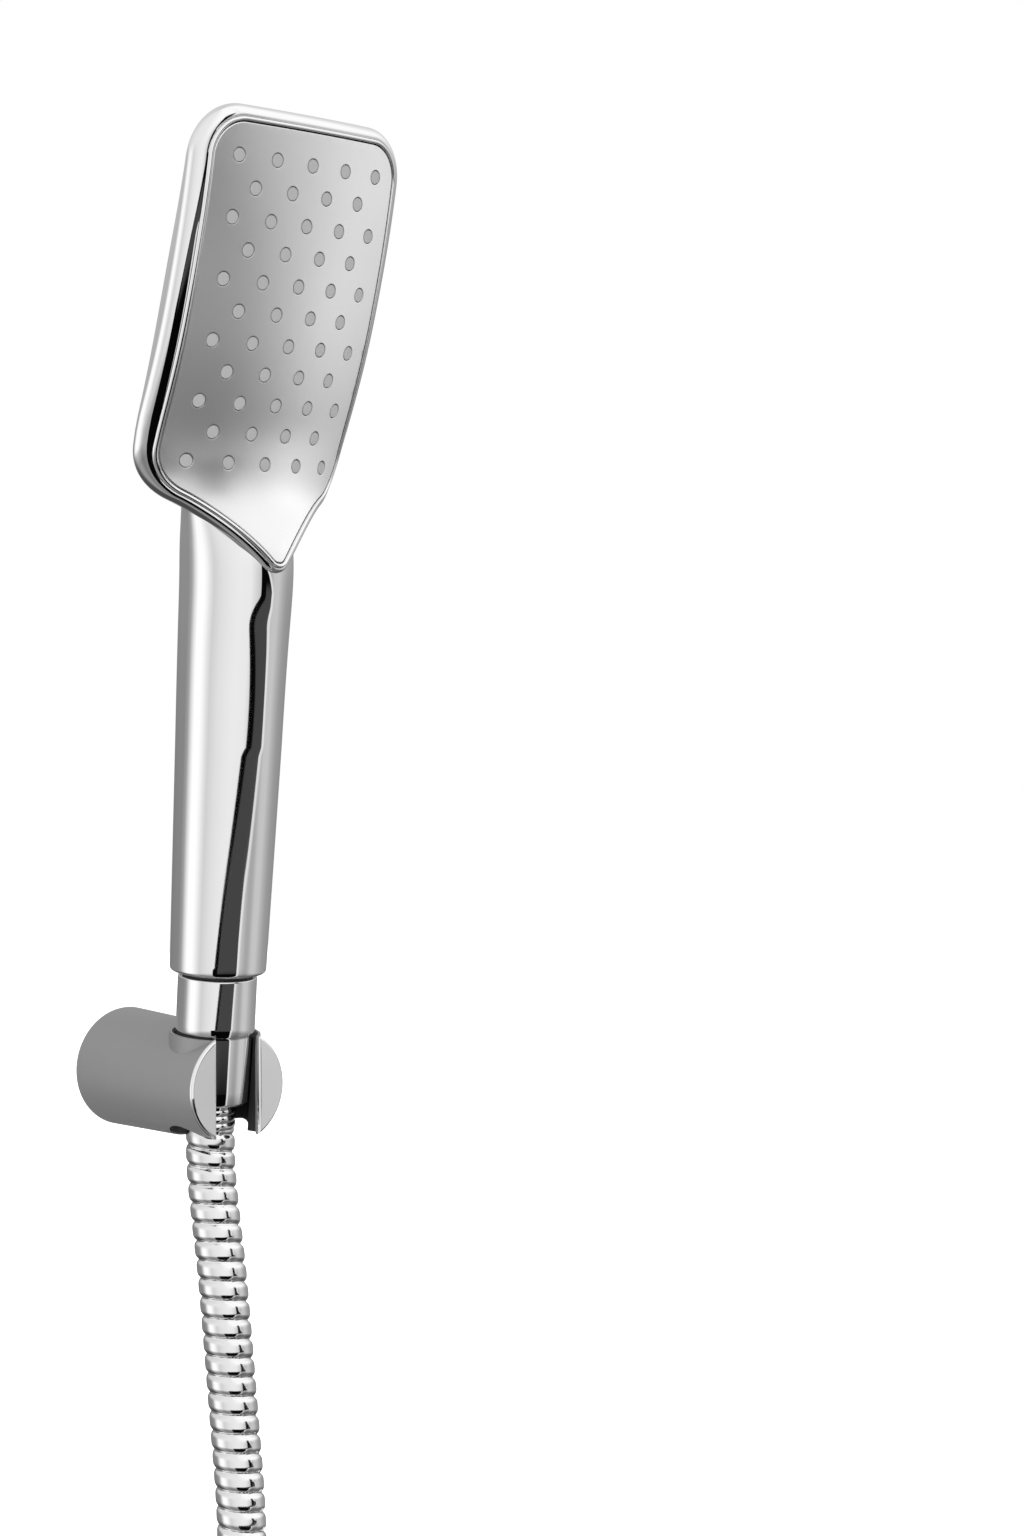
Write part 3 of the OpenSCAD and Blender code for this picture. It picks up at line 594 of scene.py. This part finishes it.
# ---------------------------------------------------------------- conical nut and hose sleeve
def conical_nut():
    """Nut turned from (radius, height) points: guide bore, rounded end, cone, collar and thread bore."""
    segments = 96
    profile = [(GUIDE_R, GUIDE_TO), (GUIDE_R, SHANK_FROM + 0.4), (6.3, SHANK_FROM), (9.95, SHANK_FROM)]
    profile += arc(9.95, SHANK_FROM + 0.95, 0.95, -90, -2, 6)
    profile += [(10.98, -1), (11.05, 3), (11.17, 9), (11.26, COLLAR_FROM - 0.7),
                (11.27, COLLAR_FROM - 0.2), (11.35, COLLAR_FROM), (11.5, COLLAR_FROM + 0.06)]
    profile += [(COLLAR_R, h) for h in (COLLAR_FROM + 0.3, 18, 24, COLLAR_TO - 0.6)]
    profile += arc(COLLAR_R - 0.5, COLLAR_TO - 0.5, 0.5, 0, 90, 5)
    profile += [(THREAD_R + 0.15, COLLAR_TO), (THREAD_R, COLLAR_TO - 0.15), (THREAD_R, THREAD_FROM),
                (NUT_INNER_R, THREAD_FROM), (NUT_INNER_R, GUIDE_TO)]
    rings = [(r * math.cos(t), r * math.sin(t), h) for r, h in profile for t in around(segments)]
    obj = add_mesh("nut_conical", on_axis(rings), ring_faces(len(profile), segments, closed=True),
                   "handset", CHROME, ("cone_nut",))
    sharpen(obj, 32)


conical_nut()


def ribbed_sleeve(name, profile, tilt, place, replaces):
    """Crimped sleeve whose ribs run at a slight tilt."""
    segments = 96
    turn = around(segments)
    rows = np.array([[(r * math.cos(t), r * math.sin(t), h + tilt * math.sin(t) * keep)
                      for t in turn] for r, h, keep in profile])
    obj = add_mesh(name, place(rows.reshape(-1, 3)), ring_faces(len(profile), segments, closed=True),
                   "hose", CHROME, replaces)
    sharpen(obj, 40)
    return obj


def sleeve_profile(low, high, r_low, r_high, ribs):
    """Points (radius, height, share of the tilt) of a sleeve with round ribs and chamfered ends."""
    end, chamfer_r, chamfer_h = 0.5, 0.2, 0.25
    profile = [(GUIDE_R, low, 0), (r_low - chamfer_r, low, 0), (r_low, low + chamfer_h, 0)]
    pitch = (high - low - 2 * end) / ribs
    for i in range(ribs):
        base = low + end + i * pitch
        for t in np.linspace(0.04, 0.96, 12):
            swell = math.sin(math.pi * t) ** 0.6
            profile.append((r_low + (r_high - r_low) * swell, base + t * pitch, 1))
    return profile + [(r_low, high - chamfer_h, 0), (r_low - chamfer_r, high, 0), (GUIDE_R, high, 0)]


ribbed_sleeve("sleeve_crimped", sleeve_profile(SLEEVE_END, SLEEVE_TOP, 6.75, 7.2, 3), 0.5, on_axis,
              ("hose_sleeve",))


# ---------------------------------------------------------------- supply end and the coil's ties
HOSE_END = hose_points[-1]


def at_supply(points):
    """From the supply end's own frame, which looks down out of the hose, to the part's frame."""
    p = np.asarray(points, float)
    return (HOSE_END + p * (1, 1, -1)) * MM


supply_crimp = ribbed_sleeve("supply_crimp", sleeve_profile(0.05, 14, 7.55, 8.15, 5), 0.4, at_supply,
                             ("supply_sleeve",))


def supply_hex():
    """Union nut: a chamfered hexagon with a round skirt, bored for its washer and thread."""
    segments, hex_r, chamfer_from_r, low, high, end = 120, 13.8, 12.0, 14.3, 24.3, 30
    washer_seat, thread_end = 16.8, 21.5
    turn = around(segments)
    flat = hex_r * math.cos(math.pi / 6) / np.cos(turn % (math.pi / 3) - math.pi / 6)
    rows = [(chamfer_from_r + 2 * t, low + t) for t in np.linspace(0, 0.9, 5)]
    rows += [(hex_r, low + 1), (hex_r, high - 1)]
    rows += [(chamfer_from_r + 2 * t, high - t) for t in np.linspace(0.9, 0, 5)]
    rows += [(COLLAR_R + 0.02, high), (COLLAR_R, high + 0.1), (COLLAR_R, end - 0.5),
             (COLLAR_R - 0.15, end - 0.15), (COLLAR_R - 0.4, end), (THREAD_R + 0.25, end),
             (THREAD_R, end - 0.3), (THREAD_R, thread_end), (SEAT_R, thread_end), (SEAT_R, washer_seat),
             (GUIDE_R, washer_seat), (GUIDE_R, low)]
    rings = [np.stack([np.minimum(flat, r) * np.cos(turn), np.minimum(flat, r) * np.sin(turn),
                       np.full(segments, z)], -1) for r, z in rows]
    obj = add_mesh("supply_hex", at_supply(np.concatenate(rings)),
                   ring_faces(len(rows), segments, closed=True), "wall_nut", CHROME,
                   ("supply_nut",))
    sharpen(obj, 25)
    return obj


supply_nut_piece = supply_hex()


def coil_tie(name, angle, replaces):
    """Strap drawn round the coil's three turns, its corners round as the hose is."""
    thick, width, gap, corner = 1.4, 12.0, 0.2, 6.6
    near = turn_y(angle - ENTRY_ANGLE) - HOSE_D / 2 - gap
    half_r, half_y = HOSE_D / 2 + gap, TURN_PITCH + HOSE_D / 2 + gap
    path = []
    for cx, cy, start in ((1, 1, 0), (-1, 1, 90), (-1, -1, 180), (1, -1, 270)):
        centre = cx * (half_r - corner), cy * (half_y - corner)
        path += [(*centre, t) for t in np.radians(np.linspace(start, start + 90, 10))]
    # off the inner face of the strap, and along it as a share of its width
    section = [(0, -0.5), (0.3, -0.5), (thick - 0.25, -0.5), (thick, -0.47), (thick, 0.47),
               (thick - 0.25, 0.5), (0.3, 0.5), (0, 0.5)]
    c, s = math.cos(angle), math.sin(angle)
    rings = []
    for off, along in section:
        r = np.array([x + (corner + off) * math.cos(t) for x, _, t in path]) + COIL_R
        y = np.array([y + (corner + off) * math.sin(t) for _, y, t in path]) + near + half_y
        z = along * width
        rings.append(np.stack([COIL_X + r * c - z * s, y, COIL_Z + r * s + z * c], -1) * MM)
    obj = add_mesh(name, np.concatenate(rings), ring_faces(len(rings), len(path), closed=True), "hose",
                   BLACK, replaces)
    sharpen(obj, 30)
    return obj


ties = [coil_tie("tie_low", ENTRY_ANGLE + math.radians(12), ("coil_ties",)),
        coil_tie("tie_high", math.radians(155), ("coil_ties",))]


# ---------------------------------------------------------------- holder
def cutter(name, vertices, faces):
    """Plain closed solid that the holder is made from or cut by, and that is removed afterwards."""
    mesh = bpy.data.meshes.new(name)
    mesh.from_pydata([tuple(v) for v in vertices], [], faces)
    face_outward(mesh)
    obj = bpy.data.objects.new(name, mesh)
    scene.collection.objects.link(obj)
    return obj


def along_wall_normal(points):
    """From (x, y, z) with z along the holder to the part's frame, where the holder runs along -Y."""
    p = np.asarray(points, float)
    return np.stack([p[..., 0], -p[..., 2], p[..., 1]], -1) * MM


def capped(rings, n):
    """Faces of a closed solid through that many rings of n points."""
    return ring_faces(rings, n) + [end_cap(0, n), end_cap(rings - 1, n)]


def round_cutter(name, place, profile, n=96):
    """Round cutter through (radius, distance along) points."""
    points = [(r * math.cos(t), r * math.sin(t), h) for r, h in profile for t in around(n)]
    return cutter(name, place(points), capped(len(profile), n))


def slot_cutter(name, right):
    """Upright cutter from (half width, distance from the wall) points of its right half."""
    outline = right + [(-x, y) for x, y in reversed(right)]
    points = [(x, -y, z) for z in (-25, 25) for x, y in outline]
    return cutter(name, np.array(points) * MM, capped(2, len(outline)))


# Rounded edges of the lobes: (radius, distance from the wall) outside, (half width, distance) inside
LOBE_ROUND_EDGE = [(16.42, 58.1), (16.36, 58.45), (16.16, 58.75), (15.86, 58.94), (15.55, HOLDER_LEN)]
LOBE_SLOT_EDGE = [(SLOT_HALF, 58.2), (7.56, 58.55), (7.74, 58.83), (8.0, 58.97), (8.3, 59.01)]
# Where the lobes' front ends begin, and how squarely a face has to look forward to take the front's
# satin, whose lighter colour is painted light
FRONT_FROM, FRONT_SQUARE = 58.15, 0.995


def holder():
    """Round holder with its boss, socket and slot; only the lobes' flat fronts take the bright satin, a
    lighter copy of the sides' satin that carries painted light.
    """
    body = round_cutter("holder_round", along_wall_normal, [(HOLDER_WALL_R, 0), *LOBE_ROUND_EDGE], 160)
    boss = round_cutter("holder_boss", on_axis, [(BOSS_R, 0), (BOSS_R, BOSS_TO)], 160)
    liner_half, liner_front = SLOT_HALF + LINER_T, HOLDER_LEN - 2
    cuts = [
        round_cutter("cut_back", along_wall_normal, [(CAVITY_R, -1), (CAVITY_R, CAVITY_DEPTH)]),
        round_cutter("cut_core", along_wall_normal, [(CORE_R, 5), (CORE_R, CORE_DEPTH)]),
        round_cutter("cut_socket", on_axis, [(SOCKET_R_LOW, SOCKET_FROM), (SOCKET_R_HIGH, SOCKET_TO)]),
        round_cutter("cut_spot", on_axis, [(BOSS_R, BOSS_TO), (BOSS_R, SOCKET_TO)]),
        slot_cutter("cut_liner_slot", [(liner_half, SOCKET_Y), (liner_half, liner_front)]),
        slot_cutter("cut_slot", [(SLOT_HALF, SOCKET_Y), *LOBE_SLOT_EDGE, (8.3, HOLDER_LEN + 4)]),
    ]
    for tool in [boss, *cuts]:
        step = body.modifiers.new(tool.name, "BOOLEAN")
        step.operation = "UNION" if tool is boss else "DIFFERENCE"
        step.object, step.solver = tool, "EXACT"
    bpy.context.view_layer.update()
    made = bpy.data.meshes.new_from_object(body.evaluated_get(bpy.context.evaluated_depsgraph_get()))
    for obj in [body, boss, *cuts]:
        bpy.data.objects.remove(obj, do_unlink=True)
    obj = bpy.data.objects.new("holder_satin", made)
    scene.collection.objects.link(obj)
    made.materials.clear()
    for look in (HOLDER_SIDE, HOLDER_FRONT_LIT, RIM):
        made.materials.append(look)
    for polygon in made.polygons:
        polygon.use_smooth = True
        # Forward-looking front faces get the lighter satin with painted light; the front's rounded edges
        # get polished chrome
        if polygon.center.y < -FRONT_FROM * MM:
            polygon.material_index = 1 if polygon.normal.y < -FRONT_SQUARE else 2
    sharpen(obj, 35)
    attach(obj, "bracket")
    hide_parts("holder_body")


holder()

# ---------------------------------------------------------------- floor, light and surroundings
floor_mesh = bpy.data.meshes.new("floor")
FLOOR_Z, FLOOR_HALF = float(cad_low[2]) - 0.03, 3.0
floor_mesh.from_pydata([(x * FLOOR_HALF, y * FLOOR_HALF, FLOOR_Z)
                        for x, y in ((-1, -1), (1, -1), (1, 1), (-1, 1))], [], [(0, 1, 2, 3)])
floor = bpy.data.objects.new("floor", floor_mesh)
scene.collection.objects.link(floor)
FLOOR = material("floor_white", (0.9, 0.9, 0.9), 0, 0.9, mottle=0.01)
floor_shader = FLOOR.node_tree.nodes["Principled BSDF"]
floor_shader.inputs["Emission Color"].default_value = (1, 1, 1, 1)
floor_shader.inputs["Emission Strength"].default_value = 0.75
floor_mesh.materials.append(FLOOR)
floor.visible_glossy = False


def area_light(name, place, aim, size, power):
    """Square panel that lights the part from place, without showing in its reflections."""
    data = bpy.data.lights.new(name, "AREA")
    data.energy, data.size = power, size
    light = bpy.data.objects.new(name, data)
    light.location = place
    light.rotation_euler = (Vector(aim) - Vector(place)).to_track_quat("-Z", "Y").to_euler()
    light.visible_glossy = False
    scene.collection.objects.link(light)
    return light


area_light("key", (-1.2, -1.6, 1.6), (0, -0.05, 0), 1.4, 20)
area_light("fill", (1.6, 1.2, 1.4), (0, -0.05, 0), 1.6, 12)


def light_on_face():
    """A soft panel that lights only the satin face plate."""
    lit = bpy.data.collections.new("lit_face")
    lit.objects.link(plate)
    bearing, rise, away = math.radians(-12), math.radians(-2), 1.2
    middle = on_handset([[0, 20, 230]])[0]
    place = middle + away * np.array([math.cos(rise) * math.cos(bearing),
                                      math.cos(rise) * math.sin(bearing), math.sin(rise)])
    light = area_light("face_panel", tuple(place), tuple(middle), 0.9, 0.8)
    light.visible_glossy = True
    light.light_linking.receiver_collection = lit


light_on_face()


# Brightness on the level by compass bearing, in degrees from +X towards +Y
AROUND_STOPS = [(-180, 0.86), (-171, 0.70), (-153, 0.82), (-136, 0.88), (-118, 0.92), (-95, 0.90),
                (-60, 0.42), (-53, 0.42), (-41, 0.60), (-29, 0.61), (-15, 0.46), (0, 0.35), (40, 0.27),
                (75, 0.22), (104, 0.25), (122, 0.26), (134, 0.38), (145, 0.85), (153, 1.12),
                (166, 1.12), (174, 1.0), (180, 0.86)]
# How much of that is left by elevation, in degrees
DOWN_STOPS = [(-90, 0.30), (-60, 0.30), (-34, 0.30), (-24, 0.52), (-17, 1.0), (90, 1.0)]
# Brightness overhead by bearing
OVERHEAD_STOPS = [(-180, 0.86), (-125, 0.90), (-85, 1.08), (-15, 1.08), (10, 0.85), (50, 0.66),
                  (120, 0.72), (180, 0.86)]
# Bearings of the dark flag's edges by elevation, turned about so that they are positive
FLAG_LEFT = [(-90, 139), (-16.5, 139), (-16, 131), (-15.5, 124), (-15, 115), (-14.4, 108),
             (-13.8, 101), (-13, 95), (-12, 88), (-11, 82), (-10, 76), (-9, 73), (90, 73)]
FLAG_RIGHT = [(-90, 81), (-17.5, 80), (-16.5, 79), (-16, 76), (-15.5, 74), (-15, 70), (-14.4, 66),
              (-13.8, 63), (-13, 59), (-12, 55), (-11, 51), (-10, 48), (-7, 47), (1, 61), (90, 61)]


def surroundings():
    """A pale studio: white flats, a darker floor, white overhead, and one dark flag that leans over."""
    world = bpy.data.worlds.new("studio")
    scene.world = world
    world.use_nodes = True
    nodes, links = world.node_tree.nodes, world.node_tree.links
    nodes.clear()

    def calc(operation, *values):
        node = nodes.new("ShaderNodeMath")
        node.operation = operation
        for socket, value in zip(node.inputs, values):
            if isinstance(value, (int, float)):
                socket.default_value = value
            else:
                links.new(value, socket)
        return node.outputs[0]

    def times(*values):
        product = values[0]
        for value in values[1:]:
            product = calc("MULTIPLY", product, value)
        return product

    def step(value, start, end):
        """Smooth step from 0 at start to 1 at end."""
        node = nodes.new("ShaderNodeMapRange")
        node.interpolation_type = "SMOOTHSTEP"
        node.inputs["From Min"].default_value = start
        node.inputs["From Max"].default_value = end
        links.new(value, node.inputs["Value"])
        return node.outputs["Result"]

    def table(value, stops):
        """Grey level by table, for a value between the first stop and the last."""
        low, high = stops[0][0], stops[-1][0]
        node = nodes.new("ShaderNodeValToRGB")
        while len(node.color_ramp.elements) > 1:
            node.color_ramp.elements.remove(node.color_ramp.elements[-1])
        for k, (at, bright) in enumerate(stops):
            place = (at - low) / (high - low)
            element = node.color_ramp.elements[0] if k == 0 else node.color_ramp.elements.new(place)
            element.position, element.color = place, (bright, bright, bright, 1)
        links.new(calc("DIVIDE", calc("SUBTRACT", value, low), high - low), node.inputs["Fac"])
        return node.outputs["Color"]

    def blended(amount, first, second):
        return calc("ADD", times(first, calc("SUBTRACT", 1.0, amount)), times(second, amount))

    place = nodes.new("ShaderNodeTexCoord")
    split = nodes.new("ShaderNodeSeparateXYZ")
    links.new(place.outputs["Generated"], split.inputs["Vector"])
    x, y, z = split.outputs
    bearing = calc("DEGREES", calc("ARCTAN2", y, x))
    up = calc("DEGREES", calc("ARCSINE", z))
    level = times(table(bearing, AROUND_STOPS), table(up, DOWN_STOPS))
    open_air = blended(step(up, -4, 24), level, table(bearing, OVERHEAD_STOPS))
    # degrees past the flag's two leaning edges
    past_left, past_right = (
        calc("SUBTRACT", bearing, times(table(up, [(e, a / 180) for e, a in edge]), -180.0))
        for edge in (FLAG_LEFT, FLAG_RIGHT))
    lit_edge = times(step(past_right, -0.5, 0.5), step(past_right, 7, 3))
    open_air = blended(times(lit_edge, 0.7), open_air, 0.95)
    lighter = times(step(past_left, 10, 13), step(up, -21, -18), step(up, -4, -8))
    flag = blended(lighter, 0.002, 0.062)
    inside = times(step(past_left, -0.6, 0.6), step(past_right, 0.6, -0.6), step(up, -72, -58),
                   step(up, 26, 15))
    seen = blended(inside, open_air, flag)
    shown = nodes.new("ShaderNodeBackground")
    links.new(seen, shown.inputs["Color"])
    behind = nodes.new("ShaderNodeBackground")
    behind.inputs["Color"].default_value = (1, 1, 1, 1)
    path = nodes.new("ShaderNodeLightPath")
    choose = nodes.new("ShaderNodeMixShader")
    links.new(path.outputs["Is Camera Ray"], choose.inputs["Fac"])
    links.new(shown.outputs["Background"], choose.inputs[1])
    links.new(behind.outputs["Background"], choose.inputs[2])
    out = nodes.new("ShaderNodeOutputWorld")
    links.new(choose.outputs["Shader"], out.inputs["Surface"])


surroundings()
scene.view_settings.view_transform = "Standard"
